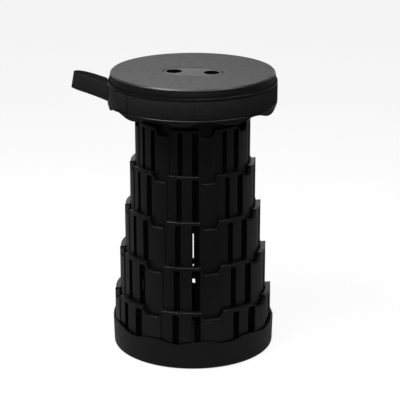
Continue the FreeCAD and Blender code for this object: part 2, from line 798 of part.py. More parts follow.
def make_keeper():
    """Bridge over the webbing, hooked over both edges of the channel."""
    body = new_body("strap_keeper")
    inner = D["drum_channel_radius"] + 0.1
    rim = D["drum_rim_radius"]
    under = inner + D["webbing_thickness"] + 0.2
    outer = under + D["keeper_plate"]
    span = (D["keeper_start"], D["keeper_end"])
    low, high = D["keeper_low"], D["keeper_high"]
    raise_sector(body, "plate", rim + 0.05, outer, span, low, high)
    body.Tip = cut_sector(body, "tunnel", rim - 1, under, (span[0] - 5, span[1] + 5),
                          D["webbing_low"] - 0.4, D["webbing_low"] + D["webbing_width"] + 0.4)
    return body


def make_keeper_pin():
    """Pin at the far end of the keeper, round which the carrying loop leaves."""
    pin_circle = D["drum_channel_radius"] + D["pin_radius"] + 0.15
    x, y = polar(pin_circle, D["keeper_start"] - 0.9)
    radius = D["pin_radius"]
    tall = D["pin_height"]
    return make_round_group("keeper_pin", x, y, [
        (0, 0), (radius - 0.3, 0), (radius, 0.3), (radius, tall - 0.3),
        (radius - 0.3, tall), (0, tall)], 1, D["webbing_low"] + 0.6)


def tangent_point(outside, centre, radius, side):
    """Where the tangent from an outside point touches a circle, on one side of it."""
    reach = centre - outside
    distance = hypot(reach.x, reach.y)
    along = atan2(-reach.y, -reach.x)
    spread = acos(radius / distance)
    angle = along + side * spread
    return centre + Vector(cos(angle), sin(angle), 0) * radius


def make_loop():
    """Carrying loop: two legs of webbing that run out from the drum and meet in a turn."""
    thickness = D["webbing_thickness"].value
    reach = (D["drum_channel_radius"] + 0.1 + D["webbing_thickness"] / 2).value
    near_azimuth = D["keeper_start"].value - 2.4
    far_azimuth = D["band_start"].value + 1.4
    near = Vector(reach * sin(radians(near_azimuth)) - 1.6,
                  -reach * cos(radians(near_azimuth)), 0)
    far = Vector(reach * sin(radians(far_azimuth)), -reach * cos(radians(far_azimuth)), 0)
    turn = Vector(D["loop_end_x"].value, D["loop_end_y"].value, 0)
    skins = []
    for offset in (thickness / 2, -thickness / 2):
        radius = D["loop_turn_radius"].value + offset
        near_touch = tangent_point(near, turn, radius, -1)
        far_touch = tangent_point(far, turn, radius, 1)
        near_leg = near_touch - near
        across = Vector(near_leg.y, -near_leg.x, 0).normalize()
        start = near - across * offset
        far_leg = far - far_touch
        across = Vector(far_leg.y, -far_leg.x, 0).normalize()
        end = far - across * offset
        beyond = turn + (turn - (near + far) / 2).normalize() * radius
        skins.append((start, near_touch, beyond, far_touch, end))
    edges = []
    for start, near_touch, beyond, far_touch, end in skins:
        edges.append(Part.LineSegment(start, near_touch).toShape())
        edges.append(Part.Arc(near_touch, beyond, far_touch).toShape())
        edges.append(Part.LineSegment(far_touch, end).toShape())
    edges.append(Part.LineSegment(skins[0][0], skins[1][0]).toShape())
    edges.append(Part.LineSegment(skins[0][4], skins[1][4]).toShape())
    wire = Part.Wire(Part.__sortEdges__(edges))
    strap = Part.Face(wire).extrude(Vector(0, 0, D["webbing_width"].value))
    loop = doc.addObject("Part::Feature", "strap_loop")
    loop.Label = "strap_loop"
    loop.Shape = strap
    loop.Placement = FreeCAD.Placement(Vector(0, 0, D["webbing_low"].value),
                                       FreeCAD.Rotation())
    return loop


# Screws

def make_screws():
    """The three sets of screws: base to largest ring, deck to seat ring, deck to lid."""
    sets = []
    x, y = polar(ring_screw_circle(), D["ring_screw_azimuth"])
    count = D["flute_count"].value
    sets.append(make_round_group("base_screws", x, y, screw_section(12, 1.4), count,
                                 D["cup_floor_low"] + 0.1))
    x, y = polar(D["lid_screw_circle"], D["lid_screw_azimuth"])
    sets.append(make_round_group("lid_screws", x, y, screw_section(9, 1.1), count,
                                 D["deck_low"] + 0.1))
    x, y = polar(seat_ring_screw_circle(), D["ring_screw_azimuth"])
    hanging = [(r, -as_size(z)) for r, z in screw_section(10, 1.8)]
    sets.append(make_round_group("seat_ring_screws", x, y, hanging, count,
                                 D["deck_high"] + 1.8))
    return sets


# Checks and files

def check_document(pieces):
    doc.recompute()
    for item in doc.Objects:
        failed = [word for word in item.State if word in ("Invalid", "Error")]
        if failed:
            raise RuntimeError("%s is %s" % (item.Name, failed))
    for piece in pieces:
        shape = piece.Shape
        if shape.isNull() or not shape.isValid():
            raise RuntimeError("%s has no valid shape" % piece.Label)


def write_steps(pieces):
    os.makedirs(STEP_FOLDER, exist_ok=True)
    for piece in pieces:
        piece.Shape.exportStep(os.path.join(STEP_FOLDER, piece.Label + ".step"))
        box = piece.Shape.BoundBox
        print("%-18s solids %2d  volume %9.0f mm3  z %7.2f to %7.2f  faces %d" % (
            piece.Label, len(piece.Shape.Solids), piece.Shape.Volume, box.ZMin, box.ZMax,
            len(piece.Shape.Faces)))


def main():
    pieces = [make_ring(number) for number in range(1, len(RING_NAMES) + 1)]
    pieces += [make_base_cup(), make_pads(), make_seat_ring(), make_seat_drum()]
    pieces += [make_seat_lid(), make_insert(), make_band(), make_keeper()]
    pieces += [make_keeper_pin(), make_loop(), *make_screws()]
    check_document(pieces)
    write_steps(pieces)


main()
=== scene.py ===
from math import atan2, cos, degrees, hypot, pi, radians, sin

import bpy
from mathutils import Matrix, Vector


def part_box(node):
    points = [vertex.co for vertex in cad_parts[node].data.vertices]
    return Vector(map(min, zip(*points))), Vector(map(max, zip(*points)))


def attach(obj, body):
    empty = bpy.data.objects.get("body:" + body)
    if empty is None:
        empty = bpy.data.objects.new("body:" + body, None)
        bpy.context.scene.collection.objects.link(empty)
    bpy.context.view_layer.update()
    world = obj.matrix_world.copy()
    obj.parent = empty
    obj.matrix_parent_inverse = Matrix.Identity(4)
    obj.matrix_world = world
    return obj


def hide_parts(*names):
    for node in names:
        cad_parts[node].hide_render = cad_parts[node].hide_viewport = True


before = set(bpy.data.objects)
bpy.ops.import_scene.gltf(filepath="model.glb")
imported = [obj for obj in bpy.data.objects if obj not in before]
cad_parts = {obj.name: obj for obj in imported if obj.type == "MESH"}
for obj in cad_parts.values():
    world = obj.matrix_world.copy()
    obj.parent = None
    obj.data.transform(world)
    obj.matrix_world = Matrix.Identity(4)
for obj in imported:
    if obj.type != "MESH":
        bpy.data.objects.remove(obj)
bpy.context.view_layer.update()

# Telescopic stool, seat drum pulled out on five fluted rings. Metres, +Z up, front to -Y.
# Azimuths are in degrees from the front, growing towards +X.

MM = 0.001

DRUM_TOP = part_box("seat_drum")[1][2]
SEAT_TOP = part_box("seat_lid")[1][2]
LID_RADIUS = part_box("seat_lid")[1][0]
INSERT_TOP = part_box("grip_insert")[1][2]

WEBBING_LOW = 388.0 * MM
WEBBING_WIDTH = 26.0 * MM
WEBBING_MIDDLE = WEBBING_LOW + WEBBING_WIDTH / 2
WEBBING_THICKNESS = 1.6 * MM
RIB = 2.5 * MM
YARN = 0.8 * MM


# Materials

def paint(code):
    """Linear colour of an sRGB hex code."""
    channels = [int(code[place:place + 2], 16) / 255 for place in (1, 3, 5)]
    linear = [c / 12.92 if c <= 0.04045 else ((c + 0.055) / 1.055) ** 2.4 for c in channels]
    return (*linear, 1.0)


def add_node(tree, kind, inputs=None, **properties):
    """A shader node; each input, by name or number, takes a value or a socket to link."""
    node = tree.nodes.new(kind)
    for name, value in properties.items():
        setattr(node, name, value)
    for name, value in (inputs or {}).items():
        if isinstance(value, bpy.types.NodeSocket):
            tree.links.new(value, node.inputs[name])
        else:
            node.inputs[name].default_value = value
    return node


def new_material(name):
    material = bpy.data.materials.new(name)
    material.use_nodes = True
    material.node_tree.nodes.clear()
    return material, material.node_tree


# IOR of polypropylene, moulded or drawn to yarn.
POLYPROPYLENE_IOR = 1.49
FLOW_MARK = 55 * MM
SCUFF = 9 * MM
RUBBED_TONE = "#3a3a3c"
# Pointiness where an edge begins to be rubbed and where it is rubbed most.
RUBBED_FROM, RUBBED_TO = 0.53, 0.62
MOST_RUBBED = 0.35


def moulded_polypropylene(name, dark, light, grain_mm, grain_height_mm, rough, sheen):
    """Injection-moulded polypropylene from a spark-eroded tool: a dull black with a fine
    even grain, soft wide highlights, faint flow marks and edges rubbed a little paler."""
    material, tree = new_material(name)
    place = add_node(tree, "ShaderNodeTexCoord").outputs["Object"]
    grain = add_node(tree, "ShaderNodeTexNoise", {
        "Vector": place, "Scale": 1 / (grain_mm * MM), "Detail": 3.0, "Roughness": 0.6})
    flow = add_node(tree, "ShaderNodeTexNoise", {
        "Vector": place, "Scale": 1 / FLOW_MARK, "Detail": 2.0, "Roughness": 0.5,
        "Distortion": 0.4})
    scuff = add_node(tree, "ShaderNodeTexNoise", {
        "Vector": place, "Scale": 1 / SCUFF, "Detail": 4.0, "Roughness": 0.7})
    tone = add_node(tree, "ShaderNodeMixRGB", {
        "Fac": flow.outputs["Fac"], "Color1": paint(dark), "Color2": paint(light)})
    edge = add_node(tree, "ShaderNodeNewGeometry").outputs["Pointiness"]
    rubbed = add_node(tree, "ShaderNodeMapRange", {
        "Value": edge, "From Min": RUBBED_FROM, "From Max": RUBBED_TO,
        "To Min": 0.0, "To Max": MOST_RUBBED})
    worn = add_node(tree, "ShaderNodeMath", {0: rubbed.outputs[0], 1: scuff.outputs["Fac"]},
                    operation="MULTIPLY")
    surface = add_node(tree, "ShaderNodeMixRGB", {
        "Fac": worn.outputs[0], "Color1": tone.outputs[0], "Color2": paint(RUBBED_TONE)})
    polish = add_node(tree, "ShaderNodeMapRange", {
        "Value": scuff.outputs["Fac"], "From Min": 0.3, "From Max": 0.7,
        "To Min": rough - 0.05, "To Max": rough + 0.06})
    bump = add_node(tree, "ShaderNodeBump", {
        "Height": grain.outputs["Fac"], "Distance": grain_height_mm * MM, "Strength": 0.6})
    shader = add_node(tree, "ShaderNodeBsdfPrincipled", {
        "Base Color": surface.outputs[0], "Roughness": polish.outputs[0],
        "Normal": bump.outputs[0], "IOR": POLYPROPYLENE_IOR, "Specular IOR Level": sheen})
    add_node(tree, "ShaderNodeOutputMaterial", {"Surface": shader.outputs[0]})
    return material


def woven_webbing(name):
    """Woven polypropylene webbing: dull black yarn with a raised rib across the strap every
    2.5 mm and finer threads along it, painted paler on the crowns of the ribs as light and
    darker between them as shade."""
    material, tree = new_material(name)
    # A wave texture's bands are 2 pi / 20 apart at a scale of 1.
    spacing = 2 * pi / 20
    along = add_node(tree, "ShaderNodeUVMap", uv_map="strap").outputs["UV"]
    ribs = add_node(tree, "ShaderNodeTexWave", {
        "Vector": along, "Scale": spacing / RIB, "Distortion": 0.35, "Detail": 2.0},
        wave_type="BANDS", bands_direction="X", wave_profile="SIN")
    threads = add_node(tree, "ShaderNodeTexWave", {
        "Vector": along, "Scale": spacing / YARN, "Distortion": 0.5, "Detail": 1.0},
        wave_type="BANDS", bands_direction="Y", wave_profile="SIN")
    fuzz = add_node(tree, "ShaderNodeTexNoise", {
        "Vector": along, "Scale": 1 / (0.5 * MM), "Detail": 3.0})
    woven = add_node(tree, "ShaderNodeMath", {
        0: ribs.outputs["Fac"], 1: threads.outputs["Fac"], 2: ribs.outputs["Fac"]},
        operation="MULTIPLY_ADD")
    # Painted light and shade: paler on the crowns of the ribs, darker in the valleys.
    tone = add_node(tree, "ShaderNodeMixRGB", {
        "Fac": ribs.outputs["Fac"], "Color1": paint("#0a0a0b"), "Color2": paint("#19191a")})
    dusty = add_node(tree, "ShaderNodeMixRGB", {
        "Fac": fuzz.outputs["Fac"], "Color1": tone.outputs[0], "Color2": paint("#1e1e1f")})
    bump = add_node(tree, "ShaderNodeBump", {
        "Height": woven.outputs[0], "Distance": 0.25 * MM, "Strength": 0.7})
    shader = add_node(tree, "ShaderNodeBsdfPrincipled", {
        "Base Color": dusty.outputs[0], "Normal": bump.outputs[0], "Roughness": 0.72,
        "IOR": POLYPROPYLENE_IOR, "Specular IOR Level": 0.22, "Sheen Weight": 0.03,
        "Sheen Roughness": 0.4})
    add_node(tree, "ShaderNodeOutputMaterial", {"Surface": shader.outputs[0]})
    return material


def zinc_plated_steel(name):
    """Bright zinc-plated steel: pale grey metal with soft drawn lines along the piece."""
    material, tree = new_material(name)
    place = add_node(tree, "ShaderNodeTexCoord").outputs["Object"]
    drawn = add_node(tree, "ShaderNodeMapping", {"Vector": place, "Scale": (1.0, 1.0, 0.05)})
    lines = add_node(tree, "ShaderNodeTexNoise", {
        "Vector": drawn.outputs[0], "Scale": 1 / (0.3 * MM), "Detail": 2.0})
    tone = add_node(tree, "ShaderNodeMixRGB", {
        "Fac": lines.outputs["Fac"], "Color1": paint("#b9babd"), "Color2": paint("#d8d9dc")})
    polish = add_node(tree, "ShaderNodeMapRange", {
        "Value": lines.outputs["Fac"], "To Min": 0.22, "To Max": 0.36})
    shader = add_node(tree, "ShaderNodeBsdfPrincipled", {
        "Base Color": tone.outputs[0], "Roughness": polish.outputs[0], "Metallic": 1.0})
    add_node(tree, "ShaderNodeOutputMaterial", {"Surface": shader.outputs[0]})
    return material


def pad_rubber(name):
    """Soft styrene rubber: matt black with a dusty, slightly uneven bloom."""
    material, tree = new_material(name)
    place = add_node(tree, "ShaderNodeTexCoord").outputs["Object"]
    bloom = add_node(tree, "ShaderNodeTexNoise", {
        "Vector": place, "Scale": 1 / (3 * MM), "Detail": 4.0})
    tone = add_node(tree, "ShaderNodeMixRGB", {
        "Fac": bloom.outputs["Fac"], "Color1": paint("#161616"), "Color2": paint("#242424")})
    bump = add_node(tree, "ShaderNodeBump", {
        "Height": bloom.outputs["Fac"], "Distance": 0.05 * MM, "Strength": 0.4})
    shader = add_node(tree, "ShaderNodeBsdfPrincipled", {
        "Base Color": tone.outputs[0], "Normal": bump.outputs[0], "Roughness": 0.85,
        "IOR": 1.52, "Specular IOR Level": 0.3})
    add_node(tree, "ShaderNodeOutputMaterial", {"Surface": shader.outputs[0]})
    return material


# Satin finish of the rings, the base and the drum.
body_plastic = moulded_polypropylene(
    "Black moulded polypropylene", "#0e0e0f", "#121213",
    grain_mm=0.9, grain_height_mm=0.03, rough=0.36, sheen=0.38)
# Coarser grain to sit on; its dark grey is painted light from above, paler than the black of
# the sides.
seat_plastic_painted_light = moulded_polypropylene(
    "Grained seat polypropylene, painted light", "#2a2a2b", "#343435",
    grain_mm=1.3, grain_height_mm=0.2, rough=0.50, sheen=0.45)
# The grip plate: finer and paler than the lid round it, its grey partly its own tone and
# partly painted light from above.
insert_plastic_painted_light = moulded_polypropylene(
    "Fine-grained polypropylene, painted light", "#3a3a3b", "#404041",
    grain_mm=0.8, grain_height_mm=0.05, rough=0.46, sheen=0.55)
# The lid's shoulder, smooth enough to catch the light in a thin line, and painted paler than
# the sides as a highlight.
polished_plastic_painted_highlight = moulded_polypropylene(
    "Smooth-edged polypropylene, painted highlight", "#1c1c1d", "#252526",
    grain_mm=2.0, grain_height_mm=0.02, rough=0.34, sheen=0.6)
# Grooves, pockets and gaps in a coarse, dull finish, with painted shade: a near-black colour
# darker than the body.
shade_painted_plastic = moulded_polypropylene(
    "Coarse matt polypropylene with painted shade", "#050506", "#070708",
    grain_mm=0.7, grain_height_mm=0.06, rough=0.7, sheen=0.04)
strap_webbing = woven_webbing("Ribbed woven webbing")
plated_steel = zinc_plated_steel("Zinc-plated steel")
foot_rubber = pad_rubber("Styrene rubber")


# Making pieces

# Points nearer than this are one, and faces that turn less than this are one.
MERGE_DISTANCE = 0.004 * MM
FLAT_TURN = radians(0.1)
# Degrees between faces up to which a piece is shaded smooth.
MOULDING_SMOOTH, LID_SMOOTH, WEBBING_SMOOTH = 35, 20, 50


def select_only(piece):
    bpy.ops.object.select_all(action="DESELECT")
    piece.select_set(True)
    bpy.context.view_layer.objects.active = piece


def set_material(piece, material):
    piece.data.materials.clear()
    piece.data.materials.append(material)


def add_finish(piece, material, wanted):
    """Give the faces that a test wants one more finish."""
    piece.data.materials.append(material)
    slot = len(piece.data.materials) - 1
    for face in piece.data.polygons:
        if wanted(face):
            face.material_index = slot


def pick(piece, kind, wanted):
    """In edit mode, select only the vertices, edges or faces that a test wants."""
    bpy.ops.mesh.select_mode(type=kind)
    bpy.ops.mesh.select_all(action="DESELECT")
    bpy.ops.object.mode_set(mode="OBJECT")
    mesh = piece.data
    places = [vertex.co for vertex in mesh.vertices]
    if kind == "FACE":
        for face in mesh.polygons:
            face.select = wanted(face)
    elif kind == "EDGE":
        for edge in mesh.edges:
            edge.select = wanted(*(places[index] for index in edge.vertices))
    else:
        for vertex in mesh.vertices:
            vertex.select = wanted(vertex.co)
    bpy.ops.object.mode_set(mode="EDIT")


def corner_edges(mesh, angle):
    """Edges where two faces meet at more than an angle, each with the normals of the two."""
    faces_of = {}
    for face in mesh.polygons:
        for key in face.edge_keys:
            faces_of.setdefault(key, []).append(face.normal)
    limit = cos(radians(angle))
    return {key: pair for key, pair in faces_of.items()
            if len(pair) == 2 and pair[0].dot(pair[1]) < limit}


def round_rim(piece, low, width):
    """Round the outer edge of a rim wherever it runs above a height, dips and slopes too."""
    mesh = piece.data
    sharp = corner_edges(mesh, angle=30)
    bpy.ops.object.mode_set(mode="EDIT")
    bpy.ops.mesh.select_mode(type="EDGE")
    bpy.ops.mesh.select_all(action="DESELECT")
    bpy.ops.object.mode_set(mode="OBJECT")
    for edge in mesh.edges:
        pair = sharp.get(edge.key)
        if not pair:
            continue
        ends = [mesh.vertices[index].co for index in edge.vertices]
        out = ((ends[0] + ends[1]) / 2 * Vector((1, 1, 0))).normalized()
        # One of the two faces is the outer side, and the other turns away from it.
        away, outer = sorted(normal.dot(out) for normal in pair)
        edge.select = min(end.z for end in ends) > low and away < 0.4 < 0.8 < outer
    bpy.ops.object.mode_set(mode="EDIT")
    bpy.ops.mesh.bevel(offset=width, segments=3, affect="EDGES", clamp_overlap=False)
    bpy.ops.object.mode_set(mode="OBJECT")


def soften(piece, angle):
    """Shade smooth up to an angle, with flat faces kept flat beside small roundings."""
    select_only(piece)
    bpy.ops.mesh.customdata_custom_splitnormals_clear()
    bpy.ops.object.shade_smooth_by_angle(angle=radians(angle))
    weights = piece.modifiers.new("Weights", "WEIGHTED_NORMAL")
    weights.keep_sharp = True
    bpy.ops.object.modifier_apply(modifier="Weights")


def moulding_of(node_name, name, material, body, edge_mm, rim=None):
    """The solid of a node as a moulding: merged, and its sharp edges rounded by a small
    radius, or left as they are for a radius of 0."""
    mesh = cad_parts[node_name].data.copy()
    mesh.name = name
    piece = bpy.data.objects.new(name, mesh)
    bpy.context.scene.collection.objects.link(piece)
    select_only(piece)
    bpy.ops.object.mode_set(mode="EDIT")
    bpy.ops.mesh.select_all(action="SELECT")
    bpy.ops.mesh.remove_doubles(threshold=MERGE_DISTANCE)
    bpy.ops.mesh.dissolve_limited(angle_limit=FLAT_TURN)
    bpy.ops.object.mode_set(mode="OBJECT")
    if rim:
        round_rim(piece, *rim)
    if edge_mm:
        rounding = piece.modifiers.new("Edges", "BEVEL")
        rounding.limit_method = "ANGLE"
        rounding.angle_limit = radians(40)
        rounding.width = edge_mm * MM
        rounding.segments = 2
        rounding.use_clamp_overlap = True
        bpy.ops.object.modifier_apply(modifier="Edges")
    soften(piece, MOULDING_SMOOTH)
    set_material(piece, material)
    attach(piece, body)
    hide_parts(node_name)
    return piece


# Rings and base

FLUTES = 8
# Azimuths of the edges of a flute's two outer grooves.
GROOVES = ((-14.7, -9.8), (-0.7, 5.5))
# How far the floors and walls of the grooves lie inside the panels.
GROOVE_DEEPEST, GROOVE_SHALLOWEST = 6.2 * MM, 1.5 * MM
# Outside of the smallest ring's panels, and what each ring after it adds.
FIRST_PANEL_MM, RING_STEP_MM = 87.6, 8.5
RIM_DEPTH, RIM_ROUNDING = 11.5 * MM, 0.9 * MM


def is_groove(face, panel):
    """Whether a face of a ring is a floor or a wall of an outer groove."""
    place = face.center
    reach = hypot(place.x, place.y)
    if not panel - GROOVE_DEEPEST < reach < panel - GROOVE_SHALLOWEST:
        return False
    looks_in = face.normal.dot(Vector((place.x, place.y, 0)).normalized()) < -0.3
    if looks_in or abs(face.normal.z) > 0.5:
        return False
    pitch = 360 / FLUTES
    azimuth = degrees(atan2(place.x, -place.y)) % pitch
    return any(low < azimuth - turn < high for low, high in GROOVES for turn in (0, pitch))


for number, body in enumerate(("stage_1", "stage_2", "stage_3", "stage_4", "base"), start=1):
    node_name = "ring_%d" % number
    # Short edges on the four larger rings hold a rounding back to nothing, so they have none.
    ring = moulding_of(node_name, "fluted_" + node_name, body_plastic, body,
                       edge_mm=0.3 if number == 1 else 0,
                       rim=(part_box(node_name)[1][2] - RIM_DEPTH, RIM_ROUNDING))
    panel = (FIRST_PANEL_MM + RING_STEP_MM * (number - 1)) * MM
    # The grooves keep the coarse finish of the tool and are painted darker as shade; the
    # panels between them are smoother.
    add_finish(ring, shade_painted_plastic, lambda face: is_groove(face, panel))
moulding_of("base_cup", "base_cup_moulding", body_plastic, "base", edge_mm=0.5)


# Seat

moulding_of("seat_ring", "seat_ring_moulding", body_plastic, "seat",
            edge_mm=0.4)
drum = moulding_of("seat_drum", "seat_drum_moulding", body_plastic, "seat",
                   edge_mm=0.4)
# The ledge under the lid is painted dark as shade.
LEDGE_DEPTH = 1 * MM
add_finish(drum, shade_painted_plastic,
           lambda face: face.center.z > DRUM_TOP - LEDGE_DEPTH and face.normal.z > 0.2)

# The lid's lower lip begins at a radius and ends at a height over the drum.
LIP_RADIUS, LIP_RISE, LIP_GROWTH = 121.5 * MM, 2.6 * MM, 1.006
RIM_RADIUS, RIM_GROWTH = 110 * MM, 1.011
SHOULDER, SHOULDER_FOOT = 3.2 * MM, 3.6 * MM
POCKET_RADIUS, POCKET_DEPTH = 50 * MM, 3.1 * MM
DISC_SIDES = 192
DISC_SPARE = 0.1 * MM
# The disc's middle under the seat's top, which leaves its own top just over it.
DISC_DEPTH, DISC_MIDDLE = 60 * MM, 29.9 * MM


def cut_shoulder(lid):
    """Widen the rim of the cap a little and cut its edge to a sloped shoulder with a disc."""
    bpy.ops.object.mode_set(mode="EDIT")
    pick(lid, "VERT", lambda place: (hypot(place.x, place.y) > LIP_RADIUS
                                     and place.z < DRUM_TOP + LIP_RISE))
    bpy.ops.transform.resize(value=(LIP_GROWTH, LIP_GROWTH, 1), center_override=(0, 0, 0))
    pick(lid, "VERT", lambda place: hypot(place.x, place.y) > RIM_RADIUS)
    bpy.ops.transform.resize(value=(RIM_GROWTH, RIM_GROWTH, 1), center_override=(0, 0, 0))
    bpy.ops.object.mode_set(mode="OBJECT")
    bpy.ops.object.select_all(action="DESELECT")
    bpy.ops.mesh.primitive_cylinder_add(vertices=DISC_SIDES,
                                        radius=LID_RADIUS * RIM_GROWTH + DISC_SPARE,
                                        depth=DISC_DEPTH,
                                        location=(0, 0, SEAT_TOP - DISC_MIDDLE))
    disc = bpy.context.object
    select_only(disc)
    bpy.ops.object.transform_apply(location=True, rotation=False, scale=False)
    bpy.ops.object.mode_set(mode="EDIT")
    pick(disc, "EDGE", lambda a, b: min(a.z, b.z) > SEAT_TOP)
    bpy.ops.mesh.bevel(offset=SHOULDER, segments=1, affect="EDGES")
    bpy.ops.object.mode_set(mode="OBJECT")
    select_only(lid)
    cut = lid.modifiers.new("Shoulder", "BOOLEAN")
    cut.operation = "INTERSECT"
    cut.solver = "EXACT"
    cut.object = disc
    bpy.ops.object.modifier_apply(modifier="Shoulder")
    bpy.data.objects.remove(disc)
    soften(lid, LID_SMOOTH)


def in_pocket(face):
    """Whether a face of the lid is in the pocket of the grip plate or in a finger hole."""
    return (hypot(face.center.x, face.center.y) < POCKET_RADIUS
            and (face.center.z < SEAT_TOP - POCKET_DEPTH or abs(face.normal.z) < 0.5))


lid = moulding_of("seat_lid", "seat_lid_moulding", seat_plastic_painted_light, "seat",
                  edge_mm=0.5)
cut_shoulder(lid)
# The lid's sides keep the body's colour, so that the paler painted light is only on its top.
add_finish(lid, body_plastic, lambda face: face.normal.z < 0.25)
# A painted highlight on the shoulder band between the top and the sides.
add_finish(lid, polished_plastic_painted_highlight, lambda face: (0.5 < face.normal.z < 0.9
                                                and face.center.z > SEAT_TOP - SHOULDER_FOOT))
# Painted shade in the plate's pocket and in the finger holes.
add_finish(lid, shade_painted_plastic, in_pocket)

# The oval grip plate: half the distance of its two centres, its radius round them, and its
# long axis, turned by 9 degrees.
INSERT_HALF_RUN, INSERT_RADIUS = 17.5 * MM, 27.5 * MM
INSERT_AXIS = Vector((cos(radians(-9)), sin(radians(-9))))
OUTLINE_WIDTH, OUTLINE_DEPTH = 0.9 * MM, 2.2 * MM
OUTLINE_SCALE = (0.974, 0.95, 1)
PLATE_EDGE = 0.8 * MM


def on_outline(place):
    """Whether a place is on the rim of the oval plate."""
    flat = Vector((place.x, place.y))
    run = max(-INSERT_HALF_RUN, min(INSERT_HALF_RUN, flat.dot(INSERT_AXIS)))
    return (place.z > INSERT_TOP - OUTLINE_DEPTH
            and (flat - INSERT_AXIS * run).length > INSERT_RADIUS - OUTLINE_WIDTH)


insert = moulding_of("grip_insert", "grip_insert_moulding", insert_plastic_painted_light, "seat",
                     edge_mm=0.6)
# The plate stands off the lid all round by a gap, darkened by painted shade on the plate's
# sides.
select_only(insert)
bpy.ops.object.mode_set(mode="EDIT")
pick(insert, "VERT", on_outline)
bpy.ops.transform.resize(value=OUTLINE_SCALE)
bpy.ops.object.mode_set(mode="OBJECT")
soften(insert, MOULDING_SMOOTH)
# The plate's sides below its rim are painted dark as shade in the gap.
add_finish(insert, shade_painted_plastic, lambda face: face.center.z < INSERT_TOP - PLATE_EDGE)
moulding_of("strap_keeper", "strap_keeper_moulding", body_plastic, "seat",
            edge_mm=0.3)

for node_name in ("keeper_pin", "base_screws", "lid_screws", "seat_ring_screws"):
    set_material(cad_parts[node_name], plated_steel)
set_material(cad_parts["foot_pads"], foot_rubber)


# Webbing

# Where a rib's crown begins and ends, as shares of its pitch, and what is left of the
# webbing's thickness and width in the valley between two ribs.
CROWN = (0.34, 0.66)
VALLEY_THICKNESS, VALLEY_WIDTH = 0.5, 0.994
SELVEDGE_ROUNDING = 0.55 * MM
RIB_MERGE = 0.02 * MM
END_REACH = 0.1 * MM


def straight_webbing(name, ribs, inner):
    """A straight run of webbing along X about Z 0: one rib copied along it, ends closed."""
    bpy.ops.object.select_all(action="DESELECT")
    bpy.ops.mesh.primitive_cube_add(size=1, location=(0, 0, 0))
    strap = bpy.context.object
    strap.name = name
    select_only(strap)
    bpy.ops.object.mode_set(mode="EDIT")
    bpy.ops.mesh.select_all(action="SELECT")
    centre = Vector((RIB / 2, inner + WEBBING_THICKNESS / 2, 0))
    bpy.ops.transform.resize(value=(RIB, WEBBING_THICKNESS, WEBBING_WIDTH))
    bpy.ops.transform.translate(value=centre)
    pick(strap, "FACE", lambda face: abs(face.normal.x) > 0.9)
    bpy.ops.mesh.delete(type="FACE")
    pick(strap, "EDGE", lambda a, b: abs(a.x - b.x) > RIB / 2)
    bpy.ops.mesh.bevel(offset=SELVEDGE_ROUNDING, segments=2, affect="EDGES")
    for share in CROWN:
        bpy.ops.mesh.select_all(action="SELECT")
        bpy.ops.mesh.bisect(plane_co=(RIB * share, 0, 0), plane_no=(1, 0, 0))
    pick(strap, "VERT", lambda place: abs(place.x - RIB / 2) > RIB * 0.4)
    bpy.ops.transform.resize(value=(1, VALLEY_THICKNESS, VALLEY_WIDTH),
                             center_override=centre)
    bpy.ops.object.mode_set(mode="OBJECT")
    rows = strap.modifiers.new("Ribs", "ARRAY")
    rows.count = ribs
    rows.use_relative_offset = False
    rows.use_constant_offset = True
    rows.constant_offset_displace = (RIB, 0, 0)
    rows.use_merge_vertices = True
    rows.merge_threshold = RIB_MERGE
    bpy.ops.object.modifier_apply(modifier="Ribs")
    bpy.ops.object.mode_set(mode="EDIT")
    for end in (0, RIB * ribs):
        pick(strap, "EDGE", lambda a, b: abs(a.x - end) + abs(b.x - end) < END_REACH)
        bpy.ops.mesh.edge_face_add()
    bpy.ops.mesh.select_all(action="SELECT")
    bpy.ops.mesh.normals_make_consistent(inside=False)
    bpy.ops.object.mode_set(mode="OBJECT")
    return strap


def raise_line(line):
    """Turn a plan line into the middle line of a strap."""
    line.data.twist_mode = "Z_UP"
    select_only(line)
    bpy.ops.object.mode_set(mode="EDIT")
    bpy.ops.curve.select_all(action="SELECT")
    bpy.ops.curve.handle_type_set(type="AUTOMATIC")
    bpy.ops.transform.translate(value=(0, 0, WEBBING_MIDDLE))
    bpy.ops.object.mode_set(mode="OBJECT")
    return line


def hoop(radius):
    """Round line about the upright axis that begins at the front and runs towards -X."""
    bpy.ops.object.select_all(action="DESELECT")
    bpy.ops.curve.primitive_bezier_circle_add(radius=radius, location=(0, 0, 0))
    line = bpy.context.object
    line.data.resolution_u = 64
    return raise_line(line)


def loop_line(path):
    """Smooth line through plan points in millimetres, with the lean of the strap at each."""
    data = bpy.data.curves.new("loop_line", "CURVE")
    data.dimensions = "3D"
    data.resolution_u = 48
    run = data.splines.new("BEZIER")
    run.bezier_points.add(len(path) - 1)
    for point, (x, y, lean) in zip(run.bezier_points, path):
        point.co = (x * MM, y * MM, 0)
        point.tilt = radians(lean)
    line = bpy.data.objects.new("loop_line", data)
    bpy.context.scene.collection.objects.link(line)
    return raise_line(line)


def lay_strap(strap, line, turn=0.0):
    """Map a straight strap in metres, lay it along a line, drop the line, turn the strap
    about the upright axis and dress it as webbing of the seat."""
    layer = strap.data.uv_layers.new(name="strap")
    for loop in strap.data.loops:
        place = strap.data.vertices[loop.vertex_index].co
        layer.data[loop.index].uv = (place.x, place.z)
    select_only(strap)
    lay = strap.modifiers.new("Lay", "CURVE")
    lay.object = line
    lay.deform_axis = "POS_X"
    bpy.ops.object.modifier_apply(modifier="Lay")
    bpy.data.objects.remove(line)
    # The strap is turned, because a turned line would move it along itself.
    strap.rotation_euler.z = radians(turn)
    bpy.ops.object.transform_apply(location=False, rotation=True, scale=False)
    bpy.ops.object.shade_smooth_by_angle(angle=radians(WEBBING_SMOOTH))
    set_material(strap, strap_webbing)
    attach(strap, "seat")


